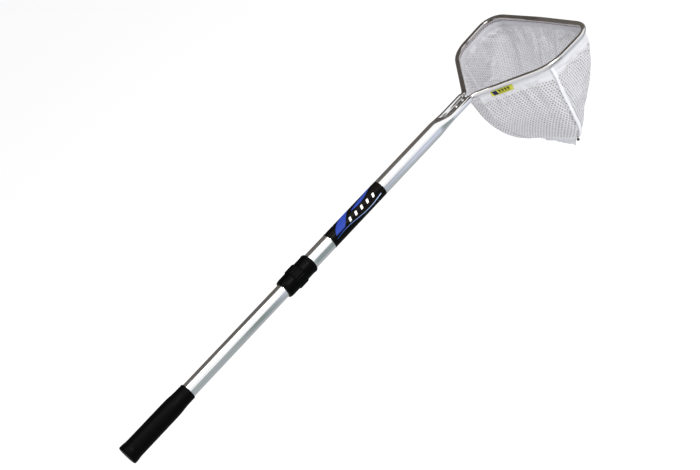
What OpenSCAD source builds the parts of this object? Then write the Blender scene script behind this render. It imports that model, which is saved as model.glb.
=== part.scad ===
// Telescopic scoop net: a two-section aluminium pole with a twist lock, and a knitted bag on a bent hoop.
// Units are millimetres. The pole lies along +X, the hoop lies level in the XY plane, and the bag hangs to -Z.
// The origin is on the pole's axis, at the middle of the hand grip.

/* [Pole] */
// Outer diameter of the lower tube, which the hand holds
lower_tube_d = 22; // [21.8:0.1:22]
// Outer diameter of the upper tube, which carries the hoop
upper_tube_d = 25; // [25:0.1:25.2]
// Wall of both tubes
tube_wall = 1.2; // [1.1:0.05:1.2]
// Lower tube that shows between the grip and the lock
bare_tube = 192; // [150:1:192]
// From the lock's lower end to where the upper tube starts to be pressed flat
upper_reach = 333; // [310:1:340]

/* [Grip] */
// Length of the hand grip, end face to end face
grip_len = 117; // [110:1:130]
// Diameter along most of the grip
grip_d = 28; // [27:0.5:29]
// Diameter of the grip's upper end
grip_neck_d = 25.2; // [25:0.1:26]
// Diameter of the flange at the butt
flange_d = 30; // [30:0.5:32]
// Length of the flange
flange_len = 11; // [8:1:13]

/* [Twist lock] */
// Length of the nut that the hand turns
nut_len = 36; // [34:1:38]
// Length of the nut's plain lower sleeve
nut_sleeve_len = 18.5; // [17:0.5:19]
// Diameter of the nut's plain lower sleeve
nut_sleeve_d = 29.6; // [29.4:0.1:30]
// Diameter over the nut's ribs
nut_rib_d = 32.7; // [32:0.1:34]
// Ribs round the nut
nut_ribs = 24; // [16:1:30]
// Length of the lock body that shows above the nut
body_len = 20; // [19:1:26]
// Diameter of the lock body
body_d = 29.4; // [29:0.1:29.8]
// Thread pitch of the lock
thread_pitch = 3; // [2.5:0.5:3]

/* [Label] */
// From the lock's lower end to the label
label_offset = 97.5; // [90:0.5:110]
// Length of the label
label_len = 113; // [90:1:120]

/* [Neck] */
// Length over which the tube goes from round to flat
taper_len = 30; // [28:1:46]
// Length of the pressed part that holds the hoop's tails
press_len = 50; // [46:1:54]
// Half the distance between the two tails
tail_offset = 9.6; // [9.4:0.1:10]
// Radius over each pressed lobe
lobe_r = 5.3; // [5.2:0.1:5.5]
// From the pole's end to the first rivet
rivet_inset = 7.6; // [6:0.2:9]
// Distance between the two rivets
rivet_step = 15; // [12:1:17]

/* [Hoop] */
// Outer diameter of the hoop's tube
hoop_d = 8; // [7.8:0.1:8]
// Wall of the hoop's tube
hoop_wall = 1.1; // [1:0.05:1.2]
// Width of the slot under the hoop that the net's edge comes through
slot_w = 1.6; // [1.5:0.1:1.8]
// Reach of the hoop beyond the pole's end, to the front rail
hoop_reach = 184; // [180:1:190]
// Half the hoop's width where the arms turn into the sides
shoulder_y = 102.7; // [98:0.5:106]
// Half the hoop's width at the front corners
corner_y = 107.8; // [104:0.5:112]
// Bend radii at the neck, the shoulder and the front corner
bend_r = [16, 60, 29];

/* [Net] */
// Depth of the bag below the hoop
bag_depth = 149; // [130:1:155]
// Half the width of the bag's bottom seam
bottom_half = 79; // [70:1:85]
// From the pole's end forward to the side seams and the bottom seam
seam_reach = 90; // [80:1:92]
// Thickness of the solids that stand for the net's cloth
cloth_t = 1.6; // [1.2:0.1:2]
// Depth of the folded hem that hangs from the hoop's slot
hem_depth = 14; // [12:0.5:16]
// Depth of the flap below the bottom seam
flap_depth = 12; // [8:1:14]
// Width of the tape over each side seam
seam_tape_w = 6; // [5:0.5:7]
// Length of the sewn tag
tag_len = 35; // [30:1:40]
// Height of the sewn tag
tag_h = 9; // [7:0.5:10]

/* [Hidden] */
$fn = 64;

// Radii of the tubes, and the clearances between moving parts
lower_r = lower_tube_d / 2;
upper_r = upper_tube_d / 2;
upper_bore_r = upper_r - tube_wall;
running = 0.05;
gap = 0.4;

// Places along the pole
butt_x = -grip_len / 2;
grip_end_x = grip_len / 2;
lock_x = grip_end_x + bare_tube;
nut_end_x = lock_x + nut_len;
body_x = nut_end_x + gap;
body_end_x = body_x + body_len;
taper_x = lock_x + upper_reach;
press_x = taper_x + taper_len;
joint_x = press_x + press_len;

// The lock body's thread runs down inside the nut, and its inside steps hold the collet and the upper tube
spigot_len = 16;
spigot_x = body_x - spigot_len;
thread_root_r = 13.3;
thread_crest_r = 14;
seat_r = 12.05;
seat_end_x = spigot_x + 17.6;
socket_x = seat_end_x + 4;

// The lower tube ends in a guide plug that runs inside the upper tube
grip_floor = 3;
plug_head_len = 16;
plug_spigot_len = 20;
plug_x = socket_x + 63;
plug_pin_r = 1.5;

// The collet's taper, and the ring round it
collet_x = lock_x + 8;
collet_bore_r = lower_r + 0.03;
taper_small_r = 11.65;
taper_large_r = 12.65;
ring_x = lock_x + 6.4;
ring_end_x = lock_x + 16.4;
ring_r = 13.35;
nut_bore_r = ring_r + running;
thread_bore_r = thread_crest_r + 0.06;

// ---------- helpers ----------

// Turns a profile of [x, radius] points about the pole's axis
module turned(profile) {
    rotate([0, 90, 0]) rotate([0, 0, 180]) rotate_extrude()
        polygon([for (p = profile) [p[1], p[0]]]);
}

// A round bar along +X
module bar(x, length, r) {
    translate([x, 0, 0]) rotate([0, 90, 0]) cylinder(r = r, h = length);
}

// A tube along +X
module tube(x, length, outer_r, inner_r) {
    difference() {
        bar(x, length, outer_r);
        bar(x - 1, length + 2, inner_r);
    }
}

// ---------- the hoop's path ----------
// The left half of the hoop, seen from above: corners of its path from the tail's end to the middle of the
// front rail, relative to the pole's end. The front rail bows out a little.
front_bow = 2.7;
front_bow_r = 600;
neck_u = 7;
shoulder_u = 88;
hoop_corners = [
    [-press_len + 2, tail_offset], [neck_u, tail_offset], [shoulder_u, shoulder_y],
    [hoop_reach, corner_y], [hoop_reach + front_bow, 0]
];
hoop_bends = concat([0], bend_r, [front_bow_r]);

function heading(a, b) = atan2(b[1] - a[1], b[0] - a[0]);
headings = [for (i = [1 : len(hoop_corners) - 1]) heading(hoop_corners[i - 1], hoop_corners[i])];
// Turn at each corner, with the last one made only as far as the middle
turns = [0, for (i = [1 : 3]) headings[i] - headings[i - 1], -90 - headings[3]];
function tangent(i) = i == 4 ? hoop_bends[4] * tan(abs(turns[4])) : hoop_bends[i] * tan(abs(turns[i]) / 2);
function straight(i) = norm(hoop_corners[i] - hoop_corners[i - 1]) - tangent(i - 1) - tangent(i);
// The path as steps of [straight length, bend radius, bend angle]
hoop_steps = [for (i = [1 : 4]) [straight(i), hoop_bends[i], turns[i]]];
function arc_len(step) = step[1] * abs(step[2]) * PI / 180;
function step_len(i) = hoop_steps[i][0] + arc_len(hoop_steps[i]);
function run_len(n) = n == 0 ? 0 : run_len(n - 1) + step_len(n - 1);
half_len = run_len(4);
// The hem starts where the arm leaves the neck bend, and the side seam is at the middle of the shoulder bend
hem_start = step_len(0);
seam_s = run_len(2) - 0.48 * arc_len(hoop_steps[1]);

// The point at arc length s on the left half, relative to the pole's end
function ahead(p, a, d) = p + d * [cos(a), sin(a)];
function turned_point(p, a, r, da) =
    let (side = sign(da), c = p + side * r * [-sin(a), cos(a)])
    c - side * r * [-sin(a + da), cos(a + da)];
function along(s, i = 0, p = hoop_corners[0], a = 0) =
    let (st = hoop_steps[i], s1 = s - st[0], arc = arc_len(st))
    s1 <= 0 ? ahead(p, a, s) :
    s1 <= arc || i == 3 ? turned_point(ahead(p, a, st[0]), a, st[1], st[2] * min(1, s1 / arc)) :
    along(s1 - arc, i + 1, turned_point(ahead(p, a, st[0]), a, st[1], st[2]), a + st[2]);

// Places along the left half as [point, heading], at the ends of each bend and between them
bend_cuts = [4, 8, 9, 2];
function bend_frames(st, p, a, cuts) =
    [for (k = [0 : cuts]) [turned_point(p, a, st[1], st[2] * k / cuts), a + st[2] * k / cuts]];
function frames(i = 0, p = hoop_corners[0], a = 0) =
    i == len(hoop_steps) ? [] :
    let (st = hoop_steps[i], q = ahead(p, a, st[0]))
    concat(bend_frames(st, q, a, bend_cuts[i]), frames(i + 1, turned_point(q, a, st[1], st[2]), a + st[2]));
hoop_frames = frames();
// The hem leaves out the tail and the neck bend
hem_frames = [for (k = [bend_cuts[0] : len(hoop_frames) - 1]) hoop_frames[k]];
// The whole loop: the left half forwards, then the right half back
function loop_of(half) = concat(half, [for (k = [len(half) - 2 : -1 : 0])
    [[half[k][0][0], -half[k][0][1]], 180 - half[k][1]]]);

// Sweeps an outline of [sideways, up] points through the places of a loop
module swept(loop, outline) {
    n = len(outline);
    last = (len(loop) - 1) * n;
    points = [for (f = loop) for (o = outline)
        [joint_x + f[0][0] - o[0] * sin(f[1]), f[0][1] + o[0] * cos(f[1]), o[1]]];
    polyhedron(points, concat(
        [[for (j = [n - 1 : -1 : 0]) j], [for (j = [0 : n - 1]) last + j]],
        [for (i = [0 : len(loop) - 2]) for (j = [0 : n - 1])
            let (a = i * n + j, b = i * n + (j + 1) % n) each [[a, b, a + n], [b, b + n, a + n]]]
    ));
}

// ---------- the net's surface ----------
// Each thread of the bag runs from a point of the rim down to a point of the bottom seam. It hangs straight
// at first and then swings in. q goes from -1 at the right side seam to 1 at the left one.
function mix(a, b, t) = a + (b - a) * t;
function mirrored(p, q) = [p[0], sign(q) * p[1]];
rear_cross = 0.08;
function rear_rim(q) =
    abs(q) < rear_cross
        ? let (p = along(hem_start)) [mix(9, p[0], abs(q) / rear_cross), p[1] * q / rear_cross]
        : mirrored(along(mix(hem_start, seam_s, (abs(q) - rear_cross) / (1 - rear_cross))), q);
function front_rim(q) = mirrored(along(mix(half_len, seam_s, abs(q))), q);
function thread(rim, q, t, sway) =
    let (h = pow(t, mix(sway, 8, pow(abs(q), 5))))
    [joint_x + mix(rim[0], seam_reach, h), mix(rim[1], q * bottom_half, h), mix(-hem_depth - 0.3, -bag_depth, t)];
rear_sway = 2.2;
front_sway = 1.4;
function rear_point(q, t) = thread(rear_rim(q), q, t, rear_sway);
function front_point(q, t) = thread(front_rim(q), q, t, front_sway);

// A sheet of the given thickness through a grid of points; side 1 or -1 says which way its thickness goes
function grid_normal(g, i, j) =
    let (
        a = g[min(i + 1, len(g) - 1)][j] - g[max(i - 1, 0)][j],
        b = g[i][min(j + 1, len(g[0]) - 1)] - g[i][max(j - 1, 0)],
        n = cross(a, b)
    ) n / norm(n);
module sheet(g, thickness) {
    rows = len(g);
    cols = len(g[0]);
    top = [for (i = [0 : rows - 1]) for (j = [0 : cols - 1]) g[i][j] + grid_normal(g, i, j) * thickness / 2];
    low = [for (i = [0 : rows - 1]) for (j = [0 : cols - 1]) g[i][j] - grid_normal(g, i, j) * thickness / 2];
    n = rows * cols;
    cells = [for (i = [0 : rows - 2]) for (j = [0 : cols - 2]) i * cols + j];
    rim = concat(
        [for (j = [0 : cols - 2]) j],
        [for (i = [0 : rows - 2]) i * cols + cols - 1],
        [for (j = [cols - 1 : -1 : 1]) (rows - 1) * cols + j],
        [for (i = [rows - 1 : -1 : 1]) i * cols]
    );
    polyhedron(concat(top, low), concat(
        [for (c = cells) each [[c, c + 1, c + cols + 1], [c, c + cols + 1, c + cols]]],
        [for (c = cells) each [[n + c, n + c + cols + 1, n + c + 1], [n + c, n + c + cols, n + c + cols + 1]]],
        [for (k = [0 : len(rim) - 1]) let (a = rim[k], b = rim[(k + 1) % len(rim)])
            each [[a, n + a, n + b], [a, n + b, b]]]
    ));
}

// ---------- the handle ----------

module grip() {
    color([0.07, 0.07, 0.07]) turned([
        [butt_x, 0], [butt_x, flange_d / 2 - 1.6], [butt_x + 0.5, flange_d / 2 - 0.5],
        [butt_x + 1.6, flange_d / 2], [butt_x + flange_len - 4, flange_d / 2 - 0.1],
        [butt_x + flange_len, grip_d / 2 + 0.1], [butt_x + flange_len + 1, grip_d / 2],
        [grip_end_x - 28, grip_d / 2], [grip_end_x - 15, grip_neck_d / 2],
        [grip_end_x - 0.8, grip_neck_d / 2], [grip_end_x, grip_neck_d / 2 - 0.8],
        [grip_end_x, lower_r], [butt_x + grip_floor, lower_r], [butt_x + grip_floor, 0]
    ]);
}

module lower_tube() {
    color([0.78, 0.79, 0.8]) difference() {
        tube(butt_x + grip_floor, plug_x - butt_x - grip_floor, lower_r, lower_r - tube_wall);
        plug_pin_bar(1);
    }
}

// The pin's bar, longer by extra at each end
module plug_pin_bar(extra = 0) {
    half = lower_r - 0.2 + extra;
    translate([plug_x - plug_spigot_len / 2, half, 0]) rotate([90, 0, 0]) cylinder(r = plug_pin_r, h = 2 * half);
}

module guide_plug() {
    color([0.2, 0.2, 0.22]) difference() {
        union() {
            bar(plug_x - plug_spigot_len, plug_spigot_len + 1, lower_r - tube_wall);
            turned([
                [plug_x, 0], [plug_x, upper_bore_r - running], [plug_x + plug_head_len - 1.5, upper_bore_r - running],
                [plug_x + plug_head_len, upper_bore_r - 1.5], [plug_x + plug_head_len, 0]
            ]);
        }
        bar(plug_x - plug_spigot_len - 1, plug_head_len + plug_spigot_len - 2, 6);
        plug_pin_bar(1);
    }
}

module plug_pin() {
    color([0.6, 0.6, 0.62]) plug_pin_bar();
}

// ---------- the twist lock ----------

// A split sleeve: its thin upper half sits in the lock body, and its tapered lower half grips the lower tube
module lock_collet() {
    slits = 4;
    color([0.85, 0.85, 0.82]) difference() {
        turned([
            [collet_x, collet_bore_r], [collet_x, taper_small_r], [spigot_x - gap, taper_large_r],
            [spigot_x - gap, seat_r - running], [seat_end_x - gap, seat_r - running],
            [seat_end_x - gap, collet_bore_r]
        ]);
        for (i = [0 : slits - 1]) rotate([i * 360 / slits + 45, 0, 0])
            translate([collet_x - 1, -0.6, lower_r - 1]) cube([22, 1.2, 4]);
    }
}

// A cone that slides in the nut and squeezes the collet
module compression_ring() {
    color([0.9, 0.88, 0.8]) turned([
        [ring_x, lower_r + 0.35], [ring_x, ring_r], [ring_end_x, ring_r],
        [ring_end_x, taper_small_r + 0.35 + 0.7], [collet_x, taper_small_r + 0.35],
        [collet_x - gap, taper_small_r + 0.3], [collet_x - gap, lower_r + 0.35]
    ]);
}

module lock_nut() {
    step_x = lock_x + nut_sleeve_len;
    rib_r = nut_rib_d / 2;
    color([0.06, 0.06, 0.06]) difference() {
        union() {
            turned([
                [lock_x, lower_r + 0.35], [lock_x, nut_sleeve_d / 2 - 1], [lock_x + 1.2, nut_sleeve_d / 2 - 0.3],
                [lock_x + 6, nut_sleeve_d / 2], [step_x, nut_sleeve_d / 2], [step_x + 0.8, rib_r - 0.5],
                [nut_end_x - 0.8, rib_r - 0.5], [nut_end_x, rib_r - 1.2], [nut_end_x, thread_bore_r],
                [step_x, thread_bore_r], [step_x, nut_bore_r], [lock_x + 6, nut_bore_r],
                [lock_x + 6, lower_r + 0.35]
            ]);
            for (i = [0 : nut_ribs - 1]) rotate([i * 360 / nut_ribs, 0, 0])
                translate([step_x + 1.5, -0.9, rib_r - 1.5]) cube([nut_end_x - step_x - 3, 1.8, 1.5]);
        }
    }
}

module lock_body() {
    body_r = body_d / 2;
    color([0.06, 0.06, 0.06]) union() {
        turned([
            [spigot_x, seat_r], [spigot_x, thread_root_r], [body_x, thread_root_r], [body_x, body_r - 0.5],
            [body_x + 0.6, body_r], [body_end_x - 6, body_r], [body_end_x - 4.5, body_r + 0.5],
            [body_end_x - 2.4, body_r + 0.5], [body_end_x - 0.9, body_r], [body_end_x, body_r - 1.2],
            [body_end_x, upper_r], [socket_x, upper_r], [socket_x, lower_r + 0.06],
            [seat_end_x, lower_r + 0.06], [seat_end_x, seat_r]
        ]);
        for (x = [spigot_x + 2 : thread_pitch : body_x - 2]) turned([
            [x - 0.9, thread_root_r - 0.3], [x - 0.9, thread_root_r], [x - 0.4, thread_crest_r],
            [x + 0.4, thread_crest_r], [x + 0.9, thread_root_r], [x + 0.9, thread_root_r - 0.3]
        ]);
    }
}

// ---------- the upper section ----------

// The pressed tube's outline: a lobe round each tail, and the flattened walls between them
module pressed_outline(r, web) {
    for (side = [-1, 1]) translate([side * tail_offset, 0]) circle(r = r, $fn = 48);
    square([2 * tail_offset, web], center = true);
}

// The same outline as points, anticlockwise from the foot of one lobe, and a circle's points that match them
lobe_cuts = 20;
function lobe(side, r, web) =
    let (meet = asin(web / 2 / r), start = side > 0 ? meet - 180 : meet)
    [for (k = [0 : lobe_cuts]) let (t = start + (360 - 2 * meet) * k / lobe_cuts)
        [side * tail_offset + r * cos(t), r * sin(t)]];
function eight_points(r, web) = concat(lobe(1, r, web), lobe(-1, r, web));
function circle_points(r) = [for (side = [0, 1]) for (k = [0 : lobe_cuts])
    let (t = -87 + 174 * k / lobe_cuts + 180 * side) r * [cos(t), sin(t)]];
function eased(t) = t * t * (3 - 2 * t);

// The tube's wall from round to flat. It starts inside the wall of the round tube and ends inside the
// pressed part, a little thinner than each, so that the three join.
press_web = 2 * tube_wall + 0.3;
taper_cuts = 9;
taper_skin = 0.1;
taper_lap = 0.8;
function taper_ring(k, r, lobe_radius, web) =
    let (t = k / taper_cuts, a = circle_points(r), b = eight_points(lobe_radius, web))
    [for (j = [0 : len(a) - 1]) let (p = mix(a[j], b[j], eased(t)))
        [mix(taper_x - taper_lap, press_x + taper_lap, t), p[0], p[1]]];
module taper() {
    outer = [for (k = [0 : taper_cuts])
        taper_ring(k, upper_r - taper_skin, lobe_r - taper_skin, press_web - 2 * taper_skin)];
    inner = [for (k = [0 : taper_cuts])
        taper_ring(k, upper_bore_r + taper_skin, hoop_d / 2 + taper_skin, 0.4)];
    n = len(outer[0]);
    all = (taper_cuts + 1) * n;
    last = taper_cuts * n;
    polyhedron(concat([for (r = outer) each r], [for (r = inner) each r]), concat(
        [for (k = [0 : taper_cuts - 1]) for (j = [0 : n - 1])
            let (a = k * n + j, b = k * n + (j + 1) % n) each [
                [a, a + n, b], [b, a + n, b + n],
                [all + a, all + b, all + a + n], [all + b, all + b + n, all + a + n]
            ]],
        [for (j = [0 : n - 1]) let (b = (j + 1) % n) each [
            [j, b, all + b, all + j], [last + b, last + j, all + last + j, all + last + b]
        ]]
    ));
}

module upper_tube() {
    color([0.8, 0.81, 0.82]) {
        tube(socket_x, taper_x - socket_x, upper_r, upper_bore_r);
        taper();
        difference() {
            translate([press_x, 0, 0]) rotate([90, 0, 90]) linear_extrude(press_len)
                pressed_outline(lobe_r, press_web);
            for (side = [-1, 1]) translate([0, side * tail_offset, 0]) bar(press_x - 1, press_len + 2, hoop_d / 2);
            for (x = rivet_places) translate([x, 0, -5]) cylinder(r = 1.6, h = 10);
        }
    }
}

module label_sleeve() {
    color([0.08, 0.09, 0.2]) tube(lock_x + label_offset, label_len, upper_r + 0.15, upper_r);
}

rivet_places = [joint_x - rivet_inset, joint_x - rivet_inset - rivet_step];
module tail_rivets() {
    head_z = tube_wall + 0.15;
    color([0.7, 0.7, 0.7]) for (x = rivet_places) translate([x, 0, 0]) {
        translate([0, 0, -head_z]) cylinder(r = 1.6, h = 2 * head_z);
        for (side = [0, 1]) mirror([0, 0, side]) translate([0, 0, head_z]) cylinder(r1 = 2.6, r2 = 1.6, h = 1, $fn = 32);
    }
}

// The hoop's section: a round tube with a slot along its underside
function arc_points(r, slot, n) =
    let (half = asin(slot / 2 / r)) [for (k = [0 : n]) let (t = -90 + half + (360 - 2 * half) * k / n) r * [cos(t), sin(t)]];
function reversed(v) = [for (k = [len(v) - 1 : -1 : 0]) v[k]];
hoop_outline = concat(arc_points(hoop_d / 2, slot_w, 18), reversed(arc_points(hoop_d / 2 - hoop_wall, slot_w, 12)));
module hoop() {
    tail = [hoop_corners[0], 0];
    color([0.62, 0.61, 0.6]) swept(loop_of(concat([tail], hoop_frames)), hoop_outline);
}

// ---------- the net ----------

hem_cord_r = 1.3;
hem_t = 1;
hem_floor = -hoop_d / 2 + hoop_wall;

// The cord that keeps the net's edge in the hoop's slot
module hem_cord() {
    z = hem_floor + hem_cord_r + hem_t / 2;
    color([0.85, 0.85, 0.86]) swept(loop_of(hem_frames),
        [for (t = [0 : 36 : 324]) [hem_cord_r * cos(t), z + hem_cord_r * sin(t)]]);
}

// The folded edge, which comes down through the slot
module hem_band() {
    top = hem_floor + hem_t / 2;
    color([0.88, 0.88, 0.9]) swept(loop_of(hem_frames),
        [[-hem_t / 2, -hem_depth], [hem_t / 2, -hem_depth], [hem_t / 2, top], [-hem_t / 2, top]]);
}

net_inset = 0.015;
net_cols = 12;
net_rows = 9;
function net_grid(side) = [for (i = [-net_cols : net_cols]) [for (j = [0 : net_rows])
    let (q = i / net_cols * (1 - net_inset), t = j / net_rows)
    side < 0 ? rear_point(q, t) - [cloth_t, 0, 0] : front_point(q, t) + [cloth_t, 0, 0]]];

module rear_net() {
    color([0.84, 0.84, 0.87]) sheet(net_grid(-1), cloth_t);
}

module front_net() {
    color([0.84, 0.84, 0.87]) sheet(net_grid(1), cloth_t);
}

// A tape over the side seam, just outside the net
module seam_tape() {
    standoff = 1.6;
    rows = 12;
    color([0.95, 0.95, 0.96]) sheet([for (i = [0 : rows]) [for (x = [-1 : 1])
        let (p = front_point(1, i / rows * 0.97))
        p + [x * seam_tape_w / 2, standoff + (x == 0 ? 0.2 : 0), 0]]], 0.8);
}

module seam_tape_left() { seam_tape(); }
module seam_tape_right() { mirror([0, 1, 0]) seam_tape(); }

// The hem of the two panels below their bottom seam
module bottom_flap() {
    cols = 16;
    color([0.86, 0.86, 0.89]) sheet([for (i = [-cols : cols]) [for (j = [0 : 2])
        let (v = i / cols * bottom_half, drop = flap_depth * (0.55 + 0.45 * pow(abs(i / cols), 2)))
        [joint_x + seam_reach - j * 1.5, v, -bag_depth + 1 - j / 2 * drop]]], 0.9);
}

// The tag sewn on the right arm's hem, clear of the hoop above it and of the net below it
module sewn_tag() {
    tag_drop = 5;
    tag_s = hem_start + 18;
    a = along(tag_s);
    b = along(tag_s + tag_len);
    color([0.75, 0.76, 0.2]) translate([joint_x + a[0], -a[1], 0]) rotate([0, 0, -heading(a, b)])
        translate([0, -hem_t / 2 - 1, -tag_drop - tag_h]) cube([tag_len, 0.6, tag_h]);
}

// A small bead that closes the right end of the bottom seam
module drain_bead() {
    color([0.3, 0.3, 0.32]) translate([joint_x + seam_reach + 1, -bottom_half - 3.2, -bag_depth - 2]) difference() {
        sphere(r = 2.4, $fn = 32);
        translate([0, 0, -3]) cylinder(r = 0.8, h = 6, $fn = 24);
    }
}

grip();
lower_tube();
guide_plug();
plug_pin();
lock_collet();
compression_ring();
lock_nut();
lock_body();
upper_tube();
label_sleeve();
tail_rivets();
hoop();
hem_cord();
hem_band();
rear_net();
front_net();
seam_tape_right();
seam_tape_left();
bottom_flap();
sewn_tag();
drain_bead();
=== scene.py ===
"""Looks of a telescopic scoop net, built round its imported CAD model.

Shapes are worked out in millimetres in the CAD's frame: the pole lies along +X, the hoop is level in the
XY plane and the bag hangs to -Z. make_mesh() turns them into metres.
"""

import math

import bmesh
import bpy
import numpy as np
from mathutils import Matrix, Vector


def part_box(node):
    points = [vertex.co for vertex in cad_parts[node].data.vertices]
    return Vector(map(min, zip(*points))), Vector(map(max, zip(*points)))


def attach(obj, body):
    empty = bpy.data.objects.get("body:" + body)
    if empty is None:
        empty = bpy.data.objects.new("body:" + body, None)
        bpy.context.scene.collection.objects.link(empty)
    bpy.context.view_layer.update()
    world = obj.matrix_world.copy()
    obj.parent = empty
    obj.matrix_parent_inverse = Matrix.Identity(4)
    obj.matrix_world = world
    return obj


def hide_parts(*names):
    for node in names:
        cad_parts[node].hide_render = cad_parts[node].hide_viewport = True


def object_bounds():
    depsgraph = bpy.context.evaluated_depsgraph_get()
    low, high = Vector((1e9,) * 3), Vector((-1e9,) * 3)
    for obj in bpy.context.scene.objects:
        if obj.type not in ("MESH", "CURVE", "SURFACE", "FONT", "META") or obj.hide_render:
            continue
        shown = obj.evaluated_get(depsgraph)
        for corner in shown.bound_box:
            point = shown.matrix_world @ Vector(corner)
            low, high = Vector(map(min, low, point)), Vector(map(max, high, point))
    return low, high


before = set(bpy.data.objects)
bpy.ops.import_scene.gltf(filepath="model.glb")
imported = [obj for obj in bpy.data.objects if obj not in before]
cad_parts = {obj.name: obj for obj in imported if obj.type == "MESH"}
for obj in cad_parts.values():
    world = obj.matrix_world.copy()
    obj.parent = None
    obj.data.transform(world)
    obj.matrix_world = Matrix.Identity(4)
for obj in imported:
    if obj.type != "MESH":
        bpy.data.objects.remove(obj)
cad_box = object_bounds()

MM = 0.001
rng = np.random.default_rng(7)


def box(node):
    """A CAD node's lowest and highest corners, in millimetres."""
    low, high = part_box(node)
    return np.array(low) / MM, np.array(high) / MM


def span(node):
    """Where a CAD node starts and ends along the pole, and how high it reaches, in millimetres."""
    low, high = box(node)
    return low[0], high[0], high[2]


# ---------- places and sizes, from the frame ----------
BUTT_X, GRIP_END_X, FLANGE_R = span("grip")
LOWER_START_X, LOWER_END_X, LOWER_R = span("lower_tube")
NUT_X, NUT_END_X, NUT_R = span("lock_nut")
BODY_START_X, BODY_END_X, BODY_LIP_R = span("lock_body")
UPPER_START_X, JOINT_X, UPPER_R = span("upper_tube")
LABEL_X, LABEL_END_X, LABEL_R = span("label_sleeve")
TAIL_X, HOOP_R = span("hoop")[::2]
LOBE_SPREAD = 9.6
LOBE_R = 5.3
WALL = 1.2
PRESS_X = JOINT_X - 50
TAPER_X = PRESS_X - 30

# The twist lock
GAP = 0.4
NUT_SLEEVE_LEN = 18.5
NUT_SLEEVE_R = 14.8
BODY_R = 14.7
THREAD_PITCH = 3
THREAD_ROOT_R = 13.3
THREAD_CREST_R = 14
SEAT_R = 12.05
NUT_BORE_R = 13.4
THREAD_BORE_R = 14.06
NUT_RIBS = 24

# The net
HEM_DEPTH = 14
BAG_DEPTH = 149
BOTTOM_HALF = 79
SEAM_REACH = 90
FLAP_DEPTH = 12
TAPE_W = 6
TAG_LEN, TAG_H = 35, 9
MESH_PITCH = 4.8
HOLE_R = 1.5
CORE_R = 0.62
STRAND_HALF = 0.38


# ---------- meshes ----------
def add_object(name, data):
    """A new object in the scene."""
    thing = bpy.data.objects.new(name, data)
    bpy.context.scene.collection.objects.link(thing)
    return thing


def make_mesh(name, skin, material, sharp=35, second=None, marks=None):
    """A mesh object from a skin: points in millimetres, faces, and a UV row for each corner of each face.

    marks is 1 for each face that wears the second material.
    """
    points, faces, uvs = skin
    mesh = bpy.data.meshes.new(name)
    mesh.from_pydata((np.asarray(points, float) * MM).tolist(), [], faces)
    if uvs is not None:
        layer = mesh.uv_layers.new(name="run")
        layer.data.foreach_set("uv", (np.asarray(uvs, np.float32) * MM).ravel())
    work = bmesh.new()
    work.from_mesh(mesh)
    bmesh.ops.recalc_face_normals(work, faces=work.faces)
    work.to_mesh(mesh)
    work.free()
    mesh.polygons.foreach_set("use_smooth", [True] * len(mesh.polygons))
    mesh.set_sharp_from_angle(angle=math.radians(sharp))
    mesh.materials.append(material)
    if second:
        mesh.materials.append(second)
        mesh.polygons.foreach_set("material_index", marks)
    return add_object(name, mesh)


def make_piece(name, skin, material, slot, *nodes, body="net_section", **looks):
    """A mesh that rides its body, and hides the CAD nodes that it stands for. slot, the name of its finish,
    is not used.
    """
    piece = make_mesh(name, skin, material, **looks)
    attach(piece, body)
    if nodes:
        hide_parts(*nodes)
    return piece


def lengths(vectors):
    return np.linalg.norm(vectors, axis=-1)


def unit(vectors):
    """Vectors brought to length 1."""
    return vectors / (lengths(vectors)[..., None] + 1e-12)


def run_lengths(points):
    """How far along a line of points each one is."""
    return np.concatenate([[0], np.cumsum(lengths(np.diff(points, axis=0)))])


def loft(rings, wrap=True, loop=False, caps=True):
    """Points, faces and corner UVs of a skin through rings: u runs along the rings and v around them."""
    rings = np.asarray(rings, float)
    rows, cols = rings.shape[:2]
    middle = rings.mean(axis=1)
    along = np.append(run_lengths(middle), 0)
    widest = rings[np.argmax(lengths(rings - middle[:, None]).max(axis=1))]
    steps = lengths(np.roll(widest, -1, axis=0) - widest)
    around = np.concatenate([[0], np.cumsum(steps)])
    faces, uvs = [], []
    for i in range(rows if loop else rows - 1):
        k = (i + 1) % rows
        for j in range(cols if wrap else cols - 1):
            m = (j + 1) % cols
            faces.append((i * cols + j, i * cols + m, k * cols + m, k * cols + j))
            u0, u1, v0, v1 = along[i], along[i + 1], around[j], around[j + 1]
            uvs += [(u0, v0), (u0, v1), (u1, v1), (u1, v0)]
    if caps and not loop:
        for first in (0, (rows - 1) * cols):
            faces.append(tuple(range(first, first + cols)))
            uvs += [(along[first // cols], v) for v in around[:cols]]
    return rings.reshape(-1, 3), faces, uvs


def join(parts):
    """Several (points, faces, uvs) as one."""
    points, faces, uvs, start = [], [], [], 0
    for p, f, u in parts:
        points.append(np.asarray(p, float))
        faces += [tuple(i + start for i in face) for face in f]
        uvs += list(u)
        start += len(p)
    return np.concatenate(points), faces, uvs


def rounded(corners, cuts=5):
    """A closed outline of (a, b, radius) corners with each corner rounded off."""
    out = []
    count = len(corners)
    for i, (a, b, r) in enumerate(corners):
        here = np.array([a, b], float)
        before = np.array(corners[i - 1][:2], float) - here
        after = np.array(corners[(i + 1) % count][:2], float) - here
        if r <= 0:
            out.append(here)
            continue
        start = here + before * min(r / np.linalg.norm(before), 0.48)
        end = here + after * min(r / np.linalg.norm(after), 0.48)
        for t in np.linspace(0, 1, cuts + 1):
            out.append((1 - t) ** 2 * start + 2 * t * (1 - t) * here + t * t * end)
    return np.array(out)


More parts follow.
